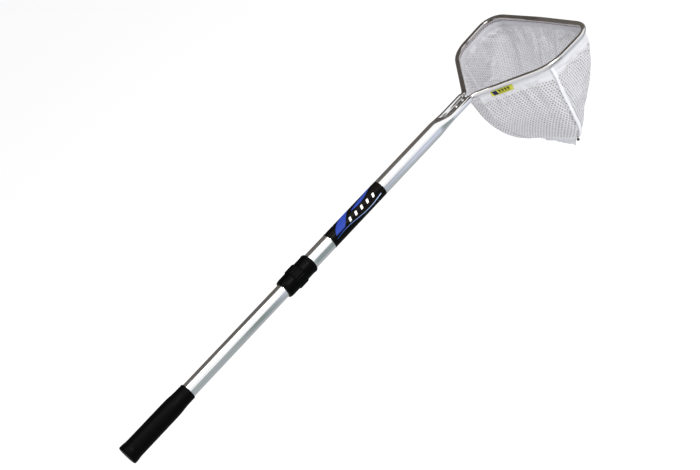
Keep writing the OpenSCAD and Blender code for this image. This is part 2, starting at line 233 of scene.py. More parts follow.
def turned(profile, segments=128, bumps=None):
    """A closed profile of (x, radius) points turned about the pole. bumps(x, r, angle) gives the radius."""
    angles = np.linspace(0, 2 * np.pi, segments, endpoint=False)
    rings = []
    for x, r in profile:
        radius = bumps(x, r, angles) if bumps else np.full(segments, r)
        y, z = radius * np.cos(angles), radius * np.sin(angles)
        rings.append(np.stack([np.full(segments, x), y, z], axis=1))
    return loft(rings, loop=True)


def upright(profile, segments, side, place):
    """A closed profile of (height, radius) points turned about Z and moved to its place, up or down."""
    points, faces, uvs = turned(profile, segments)
    return points[:, [1, 2, 0]] * [1, 1, side] + place, faces, uvs


def finely(profile, step):
    """The same closed outline with more points, no further apart than step."""
    out = []
    for a, b in zip(profile, np.roll(profile, -1, axis=0)):
        count = max(1, int(np.ceil(np.linalg.norm(b - a) / step)))
        out += [a + (b - a) * k / count for k in range(count)]
    return np.array(out)


def slab(grid, thickness, edge=0.45):
    """A thin closed sheet through a grid of points, a little thinner at its edges."""
    grid = np.asarray(grid, float)
    rows, cols = grid.shape[:2]
    normal = unit(np.cross(np.gradient(grid, axis=0), np.gradient(grid, axis=1)))
    half = np.full((rows, cols, 1), thickness / 2)
    half[0] *= edge
    half[-1] *= edge
    half[:, 0] *= edge
    half[:, -1] *= edge
    top, low = (grid + normal * half).reshape(-1, 3), (grid - normal * half).reshape(-1, 3)
    u = run_lengths(grid[:, cols // 2])
    v = run_lengths(grid[rows // 2])
    count = rows * cols
    place = np.array([(a, b) for a in u for b in v] * 2)
    faces = []
    for i in range(rows - 1):
        for j in range(cols - 1):
            a = i * cols + j
            faces.append((a, a + 1, a + cols + 1, a + cols))
            faces.append((count + a, count + a + cols, count + a + cols + 1, count + a + 1))
    rim = list(range(cols)) + [i * cols + cols - 1 for i in range(1, rows)]
    rim += [(rows - 1) * cols + j for j in range(cols - 2, -1, -1)]
    rim += [i * cols for i in range(rows - 2, 0, -1)]
    for a, b in zip(rim, rim[1:] + rim[:1]):
        faces.append((a, count + a, count + b, b))
    return np.concatenate([top, low]), faces, [tuple(place[i]) for face in faces for i in face]


# ---------- materials ----------
class Nodes:
    """A node tree, and short ways to add nodes to it and join them."""

    def __init__(self, tree):
        self.tree = tree

    def put(self, socket, value):
        if isinstance(value, bpy.types.NodeSocket):
            self.tree.links.new(value, socket)
        else:
            socket.default_value = value

    def add(self, kind, values=(), **settings):
        node = self.tree.nodes.new(kind)
        for key, value in settings.items():
            setattr(node, key, value)
        for key, value in dict(values).items():
            self.put(node.inputs[key], value)
        return node

    def math(self, operation, a, b=0.0, c=0.0):
        return self.add("ShaderNodeMath", {0: a, 1: b, 2: c}, operation=operation).outputs[0]

    def times(self, a, b):
        return self.math("MULTIPLY", a, b)

    def minus(self, a, b):
        return self.math("SUBTRACT", a, b)

    def line(self, value, slope, start):
        """value times slope, plus start."""
        return self.math("MULTIPLY_ADD", value, slope, start)

    def ramp(self, value, low, high, to_low=0.0, to_high=1.0, smooth=False):
        """value from low..high turned into to_low..to_high, and held there beyond."""
        kind = "SMOOTHSTEP" if smooth else "LINEAR"
        values = {"Value": value, "From Min": low, "From Max": high, "To Min": to_low, "To Max": to_high}
        return self.add("ShaderNodeMapRange", values, interpolation_type=kind).outputs["Result"]

    def blend(self, share, a, b, how="MIX"):
        node = self.add("ShaderNodeMix", {0: share}, data_type="RGBA", blend_type=how)
        self.put(node.inputs[6], a if isinstance(a, bpy.types.NodeSocket) else (*a, 1))
        self.put(node.inputs[7], b if isinstance(b, bpy.types.NodeSocket) else (*b, 1))
        return node.outputs[2]


class Shader(Nodes):
    """A material, built round its one surface node."""

    def __init__(self, name, colour, roughness, metallic=0.0, **inputs):
        self.material = bpy.data.materials.new(name)
        self.material.use_nodes = True
        super().__init__(self.material.node_tree)
        self.surface = self.tree.nodes["Principled BSDF"]
        self.colour((*colour, 1))
        self.roughness(roughness)
        self.put(self.surface.inputs["Metallic"], metallic)
        for key, value in inputs.items():
            self.put(self.surface.inputs[key.replace("_", " ")], value)

    def shaded(self, colour, shade):
        """colour times a grey shade."""
        grey = self.add("ShaderNodeCombineColor", {0: shade, 1: shade, 2: shade}).outputs[0]
        return self.blend(1.0, colour, grey, "MULTIPLY")

    def place(self, scale=(1, 1, 1), kind="Object"):
        """Coordinates in metres times scale: Object for the piece's own place, UV for along and around it."""
        source = self.add("ShaderNodeTexCoord").outputs[kind]
        return self.add("ShaderNodeMapping", {"Vector": source, "Scale": scale}).outputs[0]

    def noise(self, where, scale, detail=3.0, roughness=0.55):
        values = {"Vector": where, "Scale": scale, "Detail": detail, "Roughness": roughness}
        return self.add("ShaderNodeTexNoise", values).outputs["Fac"]

    def colour(self, value):
        self.put(self.surface.inputs["Base Color"], value)

    def roughness(self, value):
        self.put(self.surface.inputs["Roughness"], value)

    def bump(self, height, depth, strength=1.0):
        """Relief of the given depth in metres."""
        values = {"Height": height, "Distance": depth, "Strength": strength}
        self.put(self.surface.inputs["Normal"], self.add("ShaderNodeBump", values).outputs[0])


def drawn_metal(name, colour, roughness, run="UV"):
    """Drawn aluminium: fine and broader lines along the tube, and faint smudges."""
    s = Shader(name, colour, roughness, metallic=1.0)
    lines = s.noise(s.place((9, 2400, 2400), run), 1.0, 4.0, 0.7)
    broad = s.noise(s.place((4, 420, 420), run), 1.0, 2.0)
    smudge = s.noise(s.place(), 26.0, 4.0)
    tone = s.times(s.ramp(lines, 0.3, 0.7, 0.92, 1.0), s.ramp(broad, 0.35, 0.65, 0.88, 1.0))
    s.colour(s.shaded(colour, tone))
    grain = s.math("ADD", s.ramp(lines, 0.25, 0.75, -0.03, 0.05), s.ramp(smudge, 0.45, 0.7, 0.0, 0.07))
    s.roughness(s.math("ADD", grain, roughness))
    s.bump(lines, 0.00001, 0.5)
    return s.material


def moulded(name, colour, roughness, grain, depth, scuff=0.12, specular=0.3):
    """Moulded rubber or plastic: a fine pebbled skin, with paler scuffs here and there."""
    s = Shader(name, colour, roughness, Specular_IOR_Level=specular)
    where = s.place()
    pebble = s.add("ShaderNodeTexVoronoi", {"Vector": where, "Scale": grain, "Randomness": 1.0})
    patches = s.noise(where, 60.0, 5.0, 0.65)
    scratches = s.noise(s.place((40, 900, 900)), 1.0, 3.0, 0.7)
    worn = s.times(s.ramp(patches, 0.5, 0.8), s.ramp(scratches, 0.5, 0.75))
    paler = tuple(c * 1.3 + 0.015 for c in colour)
    s.colour(s.blend(s.times(worn, scuff * 4), colour, paler))
    s.roughness(s.ramp(patches, 0.3, 0.75, roughness - 0.06, roughness + 0.1))
    s.bump(pebble.outputs["Distance"], depth, 0.6)
    return s.material


def woven(name, colour, thread, depth=0.00012, roughness=0.8, sheen=0.25, tone=0.06):
    """Plain woven or knitted polyester: threads of the given width in metres, uneven in tone.

    It gives back the Shader, so that a print can be added.
    """
    s = Shader(name, colour, roughness, Sheen_Weight=sheen, Specular_IOR_Level=0.25)
    parts = s.add("ShaderNodeSeparateXYZ", {0: s.place((1, 1, 1), "UV")})
    turn = math.pi / thread
    wobble = s.noise(s.place(), 300.0, 2.0)
    across = s.math("SINE", s.line(parts.outputs[0], turn, s.times(wobble, 1.5)))
    along = s.math("SINE", s.line(parts.outputs[1], turn, s.times(wobble, -1.5)))
    cross = s.line(s.times(across, along), 0.5, 0.5)
    patches = s.noise(s.place(), 70.0, 4.0)
    thread_shade = s.ramp(cross, 0.0, 1.0, 1 - tone * 1.6, 1.0)
    shade = s.times(thread_shade, s.ramp(patches, 0.3, 0.7, 1 - tone, 1.0))
    s.colour(s.shaded(colour, shade))
    s.roughness(s.ramp(patches, 0.3, 0.7, roughness - 0.08, roughness + 0.08))
    s.bump(cross, depth, 0.7)
    return s


def between(s, value, low, high, soft):
    """1 where value is between low and high, with a soft edge."""
    rise = s.ramp(s.minus(value, low), 0.0, soft)
    return s.times(rise, s.ramp(s.minus(high, value), 0.0, soft))


def label_print():
    """The label's print: black, with blue sweeps, a thin curved line and a row of slanted white blocks."""
    s = Shader("label_print", (0.004, 0.004, 0.004), 0.3, Specular_IOR_Level=0.03)
    parts = s.add("ShaderNodeSeparateXYZ", {0: s.place((1000, 1000, 1000))})
    x, y, z = parts.outputs[0], parts.outputs[1], parts.outputs[2]
    s_mm = s.minus(x, float(LABEL_X))
    # Distance round the tube in millimetres, from the line that faces up and to the right, growing downwards
    face = math.radians(35.6)
    up = s.math("ADD", s.times(y, -math.sin(face)), s.times(z, -math.cos(face)))
    out = s.math("ADD", s.times(y, -math.cos(face)), s.times(z, math.sin(face)))
    c_mm = s.times(s.math("ARCTAN2", up, out), float(LABEL_R))
    soft = 0.12
    # The wide sweep: its lower edge curves back and its upper edge is straight
    back = s.minus(1.9, c_mm)
    slope = s.line(back, 0.4, 10.0)
    lower = s.line(s.times(back, back), 0.055, slope)
    upper = s.line(c_mm, -1.3, 31.0)
    wide = s.times(between(s, s_mm, lower, upper, soft), between(s, c_mm, -40.0, 1.9, soft))
    # The narrow sweep
    off = s.minus(s_mm, 68.0)
    crown = s.line(s.times(off, off), -0.009, -6.8)
    heel = s.line(s.minus(s_mm, 50.0), -0.19, -8.5)
    narrow = between(s, c_mm, heel, crown, soft)
    # The thin line, which waves and grows wider and paler towards the upper end
    wave = s.math("SINE", s.times(s.minus(s_mm, 52.5), 2 * math.pi / 98))
    centre = s.line(wave, 2.3, 6.7)
    half = s.ramp(s_mm, 8.0, 104.0, 0.3, 0.7)
    line = between(s, c_mm, s.minus(centre, half), s.math("ADD", centre, half), soft)
    line = s.times(line, between(s, s_mm, 8.0, 104.5, 0.6))
    # The row of blocks
    slant = s.line(s.math("ADD", c_mm, 0.6), 0.45, s.minus(s_mm, 38.0))
    beat = s.math("FRACT", s.math("DIVIDE", slant, 12.6))
    blocks = s.times(between(s, beat, 0.18, 0.52, 0.02), between(s, c_mm, -3.4, 2.2, soft))
    blocks = s.times(blocks, between(s, slant, 0.0, 63.0, 0.1))
    grain = s.noise(s.place(), 900.0, 3.0)
    streak = s.noise(s.place((6, 260, 260)), 1.0, 3.0)
    colour = s.blend(s.ramp(streak, 0.45, 0.75, 0.0, 0.8), (0.002, 0.002, 0.002), (0.014, 0.009, 0.006))
    colour = s.blend(wide, colour, (0.02, 0.045, 0.27))
    colour = s.blend(narrow, colour, (0.02, 0.045, 0.27))
    pale = s.blend(s.ramp(s_mm, 20.0, 102.0), (0.03, 0.10, 0.38), (0.42, 0.55, 0.78))
    colour = s.blend(line, colour, pale)
    s.colour(s.blend(blocks, colour, (0.82, 0.81, 0.78)))
    s.roughness(s.ramp(grain, 0.3, 0.7, 0.24, 0.36))
    s.bump(grain, 0.00002, 0.4)
    return s.material


def tag_print():
    """The tag's weave: yellow, with a navy corner and rows of dark olive bars."""
    s = woven("tag_weave", (0.52, 0.52, 0.03), 0.00035, 0.00006, 0.7, 0.1)
    ground = s.surface.inputs["Base Color"].links[0].from_socket
    parts = s.add("ShaderNodeSeparateXYZ", {0: s.place((1000, 1000, 1), "UV")})
    u, v = parts.outputs[0], parts.outputs[1]
    slant = s.line(v, 0.35, u)
    navy = s.times(between(s, slant, 4.5, 12.0, 0.15), between(s, v, 0.8, 8.2, 0.15))
    row_a = s.times(between(s, v, 3.5, 8.1, 0.12), between(s, slant, 13.5, 33.0, 0.15))
    beat_a = between(s, s.math("FRACT", s.math("DIVIDE", slant, 4.6)), 0.08, 0.84, 0.05)
    row_b = s.times(between(s, v, 1.2, 2.9, 0.12), between(s, slant, 12.0, 31.0, 0.15))
    beat_b = between(s, s.math("FRACT", s.math("DIVIDE", slant, 2.4)), 0.1, 0.8, 0.06)
    bars = s.math("MAXIMUM", s.times(row_a, beat_a), s.times(row_b, beat_b))
    colour = s.blend(bars, ground, (0.035, 0.04, 0.008))
    s.colour(s.blend(navy, colour, (0.008, 0.008, 0.06)))
    return s.material


RUBBER = moulded("grip_rubber", (0.0015, 0.0015, 0.0016), 0.34, 1500.0, 0.00004, 0.02, 0.03)
BLACK = moulded("lock_plastic", (0.0012, 0.0012, 0.0013), 0.32, 2600.0, 0.00002, 0.03, 0.03)
NYLON = moulded("collet_nylon", (0.72, 0.71, 0.66), 0.45, 3000.0, 0.00002, 0.02, 0.5)
ACETAL = moulded("ring_acetal", (0.78, 0.75, 0.66), 0.38, 3000.0, 0.00002, 0.02, 0.5)
PLUG = moulded("plug_plastic", (0.045, 0.045, 0.05), 0.45, 2600.0, 0.00003, 0.1, 0.4)
BEAD = moulded("bead_plastic", (0.05, 0.05, 0.055), 0.4, 2600.0, 0.00003, 0.1, 0.4)
TUBE_METAL = drawn_metal("tube_aluminium", (0.86, 0.86, 0.87), 0.12, "Object")
HOOP_METAL = drawn_metal("hoop_aluminium", (0.76, 0.74, 0.72), 0.14)
STEEL = drawn_metal("pin_steel", (0.56, 0.56, 0.57), 0.28, "Object")
RIVET_METAL = drawn_metal("rivet_aluminium", (0.80, 0.80, 0.80), 0.24, "Object")
NET_CLOTH = woven("net_knit", (0.63, 0.63, 0.66), 0.00042, 0.00016).material
# Painted shade: a dark weave for the rings round the net's open holes, standing in for the shade seen through
# them
HOLE_SHADE_CLOTH = woven("net_hole_shade", (0.27, 0.26, 0.262), 0.0003, 0.0001).material
HEM_CLOTH = woven("hem_knit", (0.65, 0.655, 0.69), 0.0005, 0.00012).material
TAPE_CLOTH = woven("tape_weave", (0.71, 0.715, 0.75), 0.0006, 0.00014, tone=0.04).material
CORD_CLOTH = woven("cord_braid", (0.70, 0.70, 0.72), 0.0007, 0.0002).material
THREAD_DARK = woven("thread_dark", (0.24, 0.07, 0.08), 0.0003, 0.00008).material
THREAD_WHITE = woven("thread_white", (0.74, 0.74, 0.77), 0.0003, 0.00008).material
TAG_CLOTH = tag_print()
LABEL_FILM = label_print()


# ---------- the handle ----------
def make_grip():
    """The rubber grip: rounded flange at the butt, straight barrel and a narrower neck."""
    profile = rounded([
        (BUTT_X, 0.6, 0), (BUTT_X, 5.2, 0.5), (BUTT_X + 0.7, 5.8, 0.5), (BUTT_X + 0.7, 7.4, 0.5),
        (BUTT_X, 8.0, 0.5), (BUTT_X, FLANGE_R, 2.6), (BUTT_X + 7.5, FLANGE_R - 0.1, 3.0),
        (BUTT_X + 12, 14.0, 4.5), (GRIP_END_X - 28.5, 14.0, 9), (GRIP_END_X - 15, 12.6, 9),
        (GRIP_END_X, 12.6, 1.3), (GRIP_END_X, LOWER_R + 0.02, 0.3), (BUTT_X + 3, LOWER_R + 0.02, 0),
        (BUTT_X + 3, 0.6, 0)
    ], 7)
    return make_piece("grip_cover", turned(profile), RUBBER, "grip_rubber", "grip", body="handle", sharp=50)


def make_lower_pole():
    profile = rounded([
        (LOWER_START_X, LOWER_R, 0.2), (LOWER_END_X, LOWER_R, 0.2),
        (LOWER_END_X, LOWER_R - WALL, 0.2), (LOWER_START_X, LOWER_R - WALL, 0.2)
    ], 2)
    skin = turned(profile, 144)
    return make_piece("lower_pole", skin, TUBE_METAL, "lower_aluminium", "lower_tube", body="handle")


# ---------- the twist lock ----------
def rib_height(x, angle):
    """Height of the nut's ribs at a place on its band, from 0 between them to 1 on top."""
    start, end = NUT_X + NUT_SLEEVE_LEN + 1.5, NUT_END_X - 1.5
    ends = np.clip(min(x - start, end - x) / 0.9 + 0.5, 0, 1)
    wave = 0.5 + 0.5 * np.cos(NUT_RIBS * angle)
    return ends * np.clip(wave * 1.9 - 0.5, 0, 1)


def make_twist_nut():
    step_x = NUT_X + NUT_SLEEVE_LEN
    band_r = NUT_R - 0.5
    profile = rounded([
        (NUT_X, LOWER_R + 0.35, 0.3), (NUT_X, NUT_SLEEVE_R - 0.9, 1.0), (NUT_X + 5, NUT_SLEEVE_R, 2.5),
        (step_x, NUT_SLEEVE_R, 0.5), (step_x + 0.9, band_r, 0.8), (NUT_END_X, band_r, 1.2),
        (NUT_END_X, THREAD_BORE_R, 0.3), (step_x, THREAD_BORE_R, 0.2), (step_x, NUT_BORE_R, 0.2),
        (NUT_X + 6, NUT_BORE_R, 0.2), (NUT_X + 6, LOWER_R + 0.35, 0.2)
    ], 4)

    def bumps(x, r, angle):
        return r + 0.5 * rib_height(x, angle) if r > band_r - 0.4 else np.full(len(angle), r)

    skin = turned(finely(profile, 0.9), 12 * NUT_RIBS, bumps)
    return make_piece("twist_nut", skin, BLACK, "lock_black", "lock_nut", body="nut", sharp=45)


def make_lock_collar():
    """The lock body: a collar with a rolled lip, and below it a spigot with a helical thread."""
    body_x = NUT_END_X + GAP
    seat_end_x = BODY_START_X + 17.6
    profile = rounded([
        (BODY_START_X, SEAT_R, 0.2), (BODY_START_X, THREAD_ROOT_R, 0.3), (body_x, THREAD_ROOT_R, 0.1),
        (body_x, BODY_R, 0.9), (BODY_END_X - 6.2, BODY_R, 0.6), (BODY_END_X - 4.8, BODY_LIP_R, 0.7),
        (BODY_END_X - 2.2, BODY_LIP_R, 1.0), (BODY_END_X, BODY_R - 0.7, 1.4), (BODY_END_X, UPPER_R, 0.3),
        (UPPER_START_X, UPPER_R, 0), (UPPER_START_X, LOWER_R + 0.06, 0.1),
        (seat_end_x, LOWER_R + 0.06, 0.1), (seat_end_x, SEAT_R, 0)
    ], 4)
    thread_start, thread_end = BODY_START_X + 1.2, body_x - 1.6

    def bumps(x, r, angle):
        on_root = abs(r - THREAD_ROOT_R) < 0.02 and thread_start < x < thread_end
        if not on_root:
            return np.full(len(angle), r)
        phase = (x / THREAD_PITCH - angle / (2 * np.pi)) % 1
        crest = np.clip(2.6 * (0.5 - np.abs(phase - 0.5)) - 0.3, 0, 1)
        fade = np.clip(min(x - thread_start, thread_end - x) / 1.2, 0, 1)
        return r + (THREAD_CREST_R - THREAD_ROOT_R) * crest * fade

    skin = turned(finely(profile, 0.3), 96, bumps)
    return make_piece("lock_collar", skin, BLACK, "lock_black", "lock_body", sharp=45)


# ---------- the upper pole ----------
def smooth_max(a, b, k):
    h = np.clip(0.5 + 0.5 * (a - b) / k, 0, 1)
    return a * h + b * (1 - h) + k * h * (1 - h)


def pole_ring(x, press, r, lobe_r, web, cuts=120):
    """A ring of the upper tube, from round at press 0 to two lobes joined by a flat web at press 1."""
    angle = np.linspace(0, 2 * np.pi, cuts, endpoint=False)
    half_w = LOBE_SPREAD + lobe_r
    y8 = half_w * np.cos(angle)
    lobe = np.sqrt(np.clip(lobe_r ** 2 - (np.abs(y8) - LOBE_SPREAD) ** 2, 0, None))
    flat = np.clip(np.minimum(web, (half_w - np.abs(y8)) * 3), 0, None)
    z8 = np.where(np.abs(y8) > LOBE_SPREAD, lobe, smooth_max(lobe, flat, 1.1))
    z8 = z8 * np.sign(np.sin(angle) + 1e-12)
    y = r * np.cos(angle) * (1 - press) + y8 * press
    z = r * np.sin(angle) * (1 - press) + z8 * press
    return np.stack([np.full(cuts, x), y, z], axis=1)


def make_upper_pole():
    def press(x):
        t = np.clip((x - TAPER_X - 5) / (PRESS_X - TAPER_X + 7), 0, 1)
        return t * t * (3 - 2 * t)

    stations = np.concatenate([
        [UPPER_START_X, UPPER_START_X + 0.3], np.linspace(UPPER_START_X + 20, TAPER_X - 1, 12),
        np.linspace(TAPER_X, PRESS_X + 4, 44), np.linspace(PRESS_X + 6, JOINT_X - 0.4, 12), [JOINT_X]
    ])
    outer = [pole_ring(x, press(x), UPPER_R, LOBE_R, 1.35) for x in stations]
    inner = [pole_ring(x, press(x), UPPER_R - WALL, HOOP_R + 0.03, 0.12) for x in stations]
    outer[0] = pole_ring(stations[0], 0, UPPER_R - 0.25, LOBE_R, 1.35)
    outer[-1] = pole_ring(JOINT_X, 1, UPPER_R, LOBE_R - 0.25, 1.1)
    skin = loft(outer + inner[::-1], loop=True)
    return make_piece("upper_pole", skin, TUBE_METAL, "upper_aluminium", "upper_tube", sharp=40)


def make_label():
    """The printed film, wrapped once round the tube and overlapping along its back."""
    lap = math.radians(18)

    def bumps(x, r, angle):
        back = np.abs((angle - math.radians(-35) + np.pi) % (2 * np.pi) - np.pi)
        return r + 0.06 * np.clip((lap - back) / 0.02, 0, 1) * (r > UPPER_R + 0.05)

    profile = rounded([
        (LABEL_X, UPPER_R + 0.01, 0), (LABEL_X, LABEL_R, 0.1), (LABEL_END_X, LABEL_R, 0.1),
        (LABEL_END_X, UPPER_R + 0.01, 0)
    ], 3)
    skin = turned(profile, 240, bumps)
    return make_piece("label_film", skin, LABEL_FILM, "label_film", "label_sleeve", sharp=60)


def make_rivets():
    """Two blind rivets through the pressed web, domed above and below."""
    low, high = box("tail_rivets")
    centres = [low[0] + 2.6, high[0] - 2.6]
    head = rounded([
        (0.0, 0.9, 0), (1.0, 0.9, 0.1), (1.25, 0.9, 0.2), (1.35, 1.0, 0.3), (2.3, 1.3, 0.35),
        (1.95, 2.3, 0.5), (1.3, 2.6, 0.2), (1.3, 1.6, 0), (0.0, 1.6, 0)
    ], 4)
    mandrel = rounded([(0.0, 0.02, 0), (1.75, 0.02, 0), (1.7, 0.85, 0.3), (0.0, 0.85, 0)], 4)
    parts = []
    for x in centres:
        for side in (1, -1):
            for profile in (head, mandrel):
                parts.append(upright(profile, 40, side, (x, 0, 0)))
    return make_piece("neck_rivets", join(parts), RIVET_METAL, "rivet_aluminium", "tail_rivets")


# ---------- the hoop ----------
HOOP_CORNERS = [(TAIL_X - JOINT_X, LOBE_SPREAD), (7, LOBE_SPREAD), (88, 102.7), (184, 107.8), (186.7, 0)]
HOOP_BENDS = [16, 60, 29, 600]


def hoop_path():
    """The left half of the hoop's centre line: [arc length, x, y, heading] rows, and where each bend ends."""
    corners = np.array(HOOP_CORNERS, float)
    legs = np.diff(corners, axis=0)
    heads = np.arctan2(legs[:, 1], legs[:, 0])
    turns = np.append(np.diff(heads), -np.pi / 2 - heads[-1])
    setback = [r * math.tan(abs(t) / (2 if i < 3 else 1)) for i, (r, t) in enumerate(zip(HOOP_BENDS, turns))]
    rows, ends = [(0.0, *corners[0], heads[0])], []
    s, here, head = 0.0, corners[0], heads[0]
    for i, (r, turn) in enumerate(zip(HOOP_BENDS, turns)):
        straight = np.linalg.norm(legs[i]) - setback[i] - (setback[i - 1] if i else 0)
        count = max(2, int(straight / 4))
        for d in np.linspace(0, straight, count + 1)[1:]:
            rows.append((s + d, *(here + d * np.array([math.cos(head), math.sin(head)])), head))
        s, here = rows[-1][0], np.array(rows[-1][1:3])
        side = math.copysign(1, turn)
        centre = here + side * r * np.array([-math.sin(head), math.cos(head)])
        count = max(4, int(abs(turn) * r / 2.0))
        for a in np.linspace(0, turn, count + 1)[1:]:
            p = centre - side * r * np.array([-math.sin(head + a), math.cos(head + a)])
            rows.append((s + r * abs(a), *p, head + a))
        ends.append((s, rows[-1][0]))
        s, here, head = rows[-1][0], np.array(rows[-1][1:3]), head + turn
    return np.array(rows), ends


HALF, BEND_ENDS = hoop_path()
HALF_LEN = HALF[-1, 0]
HEM_START = BEND_ENDS[0][1]
SEAM_S = BEND_ENDS[1][1] - 0.48 * (BEND_ENDS[1][1] - BEND_ENDS[1][0])


def along(s):
    """Points and headings at arc lengths s of the left half, relative to the pole's end."""
    return np.stack([np.interp(s, HALF[:, 0], HALF[:, k]) for k in (1, 2, 3)], axis=-1)


def loop_frames(first, step):
    """Points and headings round the whole hoop, from the left arm to the right one."""
    left = along(np.linspace(first, HALF_LEN, int((HALF_LEN - first) / step) + 1))
    right = left[-2::-1] * [1, -1, -1] + [0, 0, np.pi]
    right[:, 2] = np.pi - left[-2::-1, 2]
    return np.concatenate([left, right])


def sweep(frames, outlines):
    """Rings of (sideways, up) outline points along frames. outlines is one outline, or one for each frame."""
    outlines = np.asarray(outlines, float)
    if outlines.ndim == 2:
        outlines = np.repeat(outlines[None], len(frames), axis=0)
    side = np.stack([-np.sin(frames[:, 2]), np.cos(frames[:, 2])], axis=1)
    rings = np.empty((*outlines.shape[:2], 3))
    rings[:, :, 0] = JOINT_X + frames[:, 0, None] + outlines[:, :, 0] * side[:, 0, None]
    rings[:, :, 1] = frames[:, 1, None] + outlines[:, :, 0] * side[:, 1, None]
    rings[:, :, 2] = outlines[:, :, 1]
    return rings


def make_hoop():
    """The bent tube, with the slot along its underside that the net's hem comes out of."""
    half_slot = math.asin(0.8 / HOOP_R)
    outer = np.linspace(-np.pi / 2 + half_slot + 0.06, 1.5 * np.pi - half_slot - 0.06, 33)
    inner = outer[::-1]
    inner_r = HOOP_R - 1.1
    face = [(HOOP_R * math.cos(t), HOOP_R * math.sin(t)) for t in outer]
    bore = [(inner_r * math.cos(t), inner_r * math.sin(t)) for t in inner[::2]]
    lip = (HOOP_R - 0.55) * np.array([math.cos(outer[0] - 0.05), math.sin(outer[0] - 0.05)])
    outline = face + [(-lip[0], lip[1])] + bore + [(lip[0], lip[1])]
    skin = loft(sweep(loop_frames(0, 2.0), outline))
    return make_piece("hoop_rail", skin, HOOP_METAL, "hoop_aluminium", "hoop", sharp=50)


# ---------- the bag's surface ----------
REAR_CROSS = 0.08
REAR_SWAY = 3.0
FRONT_SWAY = 1.4
BOTTOM_SAG = 4.5


def rear_rim(q):
    """The rim point of each rear thread, with the threads between the arms drawn straight across."""
    size = np.abs(q)
    s = HEM_START + (SEAM_S - HEM_START) * np.clip((size - REAR_CROSS) / (1 - REAR_CROSS), 0, 1)
    p = along(s)
    neck = along(HEM_START)
    share = np.clip(size / REAR_CROSS, 0, 1)
    x = np.where(size < REAR_CROSS, 9 + (neck[0] - 9) * share, p[..., 0])
    y = np.where(size < REAR_CROSS, neck[1] * share, p[..., 1])
    return x, np.sign(q) * y


def front_rim(q):
    p = along(HALF_LEN + (SEAM_S - HALF_LEN) * np.abs(q))
    return p[..., 0], np.sign(q) * p[..., 1]


def threads(rim, sway, q, t):
    """Points of the bag: a thread for each q from its rim point down to the bottom seam at t 1."""
    q, t = np.broadcast_arrays(q, t)
    rim_x, rim_y = rim(q)
    h = t ** (sway + (8 - sway) * np.abs(q) ** 5)
    return np.stack([
        JOINT_X + rim_x + (SEAM_REACH - rim_x) * h,
        rim_y + (q * BOTTOM_HALF - rim_y) * h,
        -HEM_DEPTH - 0.3 + (HEM_DEPTH - BAG_DEPTH) * t - BOTTOM_SAG * t ** 3 * (1 - q * q)
    ], axis=-1)


COLS, ROWS = 72, 34
SETTLE_STEPS = 24
LIMIT = 5.0
CLOTH = {
    "quality": 10, "mass": 0.02, "tension_stiffness": 40, "compression_stiffness": 20, "shear_stiffness": 8,
    "bending_stiffness": 0.02, "air_damping": 2, "vertex_group_mass": "rim", "shrink_min": -0.035
}
Q_LINE = np.linspace(-1, 1, COLS + 1)
T_LINE = np.linspace(0, 1, ROWS + 1)


def bag_form():
    """The bag's two panels as grids [q, t], before they settle."""
    q, t = np.meshgrid(Q_LINE, T_LINE, indexing="ij")
    return threads(rear_rim, REAR_SWAY, q, t), threads(front_rim, FRONT_SWAY, q, t)


def settle(rear, front):
    """Lets both panels hang as one cloth from the hem, by simulation. A point moves no more than LIMIT."""
    size = (COLS + 1) * (ROWS + 1)
    index_rear = np.arange(size).reshape(COLS + 1, ROWS + 1)
    shared = np.zeros((COLS + 1, ROWS + 1), bool)
    shared[0] = shared[-1] = shared[:, -1] = True
    index_front = index_rear.copy()
    index_front[~shared] = size + np.arange((~shared).sum())
    points = np.concatenate([rear.reshape(-1, 3), front[~shared]])
    faces = []
    for index in (index_rear, index_front):
        a, b, c, d = index[:-1, :-1], index[1:, :-1], index[1:, 1:], index[:-1, 1:]
        faces += np.stack([a, b, c, d], axis=-1).reshape(-1, 4).tolist()
    mesh = bpy.data.meshes.new("bag_form")
    mesh.from_pydata((points * MM).tolist(), [], faces)
    bag = add_object("bag_form", mesh)
    rim = bag.vertex_groups.new(name="rim")
    rim.add([int(i) for i in np.concatenate([index_rear[:, 0], index_front[:, 0]])], 1.0, "ADD")
    cloth = bag.modifiers.new("hang", "CLOTH")
    for key, value in CLOTH.items():
        setattr(cloth.settings, key, value)
    cloth.collision_settings.use_collision = False
    for step in range(1, SETTLE_STEPS + 1):
        bpy.context.scene.frame_set(step)
    settled = bag.evaluated_get(bpy.context.evaluated_depsgraph_get())
    result = np.empty(len(points) * 3)
    settled.data.vertices.foreach_get("co", result)
    result = result.reshape(-1, 3) / MM
    bpy.context.scene.frame_set(1)
    bpy.data.objects.remove(bag)
    bpy.data.meshes.remove(mesh)
    shift = result - points
    length = np.linalg.norm(shift, axis=1, keepdims=True)
    print("bag settled: a point moved", round(float(length.mean()), 2), "mm on average")
    result = points + shift * np.minimum(1, LIMIT * np.tanh(length / LIMIT) / np.maximum(length, 1e-9))
    return result[index_rear], result[index_front]


rear_form, front_form = bag_form()
rear_hung, front_hung = rear_form, front_form
rear_hung, front_hung = settle(rear_form, front_form)


def cubic(f):
    """Catmull-Rom weights of four neighbours at a share f between the middle two."""
    return np.stack([
        -0.5 * f + f ** 2 - 0.5 * f ** 3, 1 - 2.5 * f ** 2 + 1.5 * f ** 3,
        0.5 * f + 2 * f ** 2 - 1.5 * f ** 3, -0.5 * f ** 2 + 0.5 * f ** 3
    ])


def on_grid(grid, q, t):
    """Smooth points of a [q, t] grid."""
    u = np.clip((q + 1) / 2 * COLS, 0, COLS)
    w = np.clip(t * ROWS, 0, ROWS)
    i, j = np.minimum(u.astype(int), COLS - 1), np.minimum(w.astype(int), ROWS - 1)
    weights_u, weights_w = cubic(u - i), cubic(w - j)
    out = 0
    for a in range(4):
        row = np.clip(i + a - 1, 0, COLS)
        for b in range(4):
            col = np.clip(j + b - 1, 0, ROWS)
            out = out + (weights_u[a] * weights_w[b])[..., None] * grid[row, col]
    return out


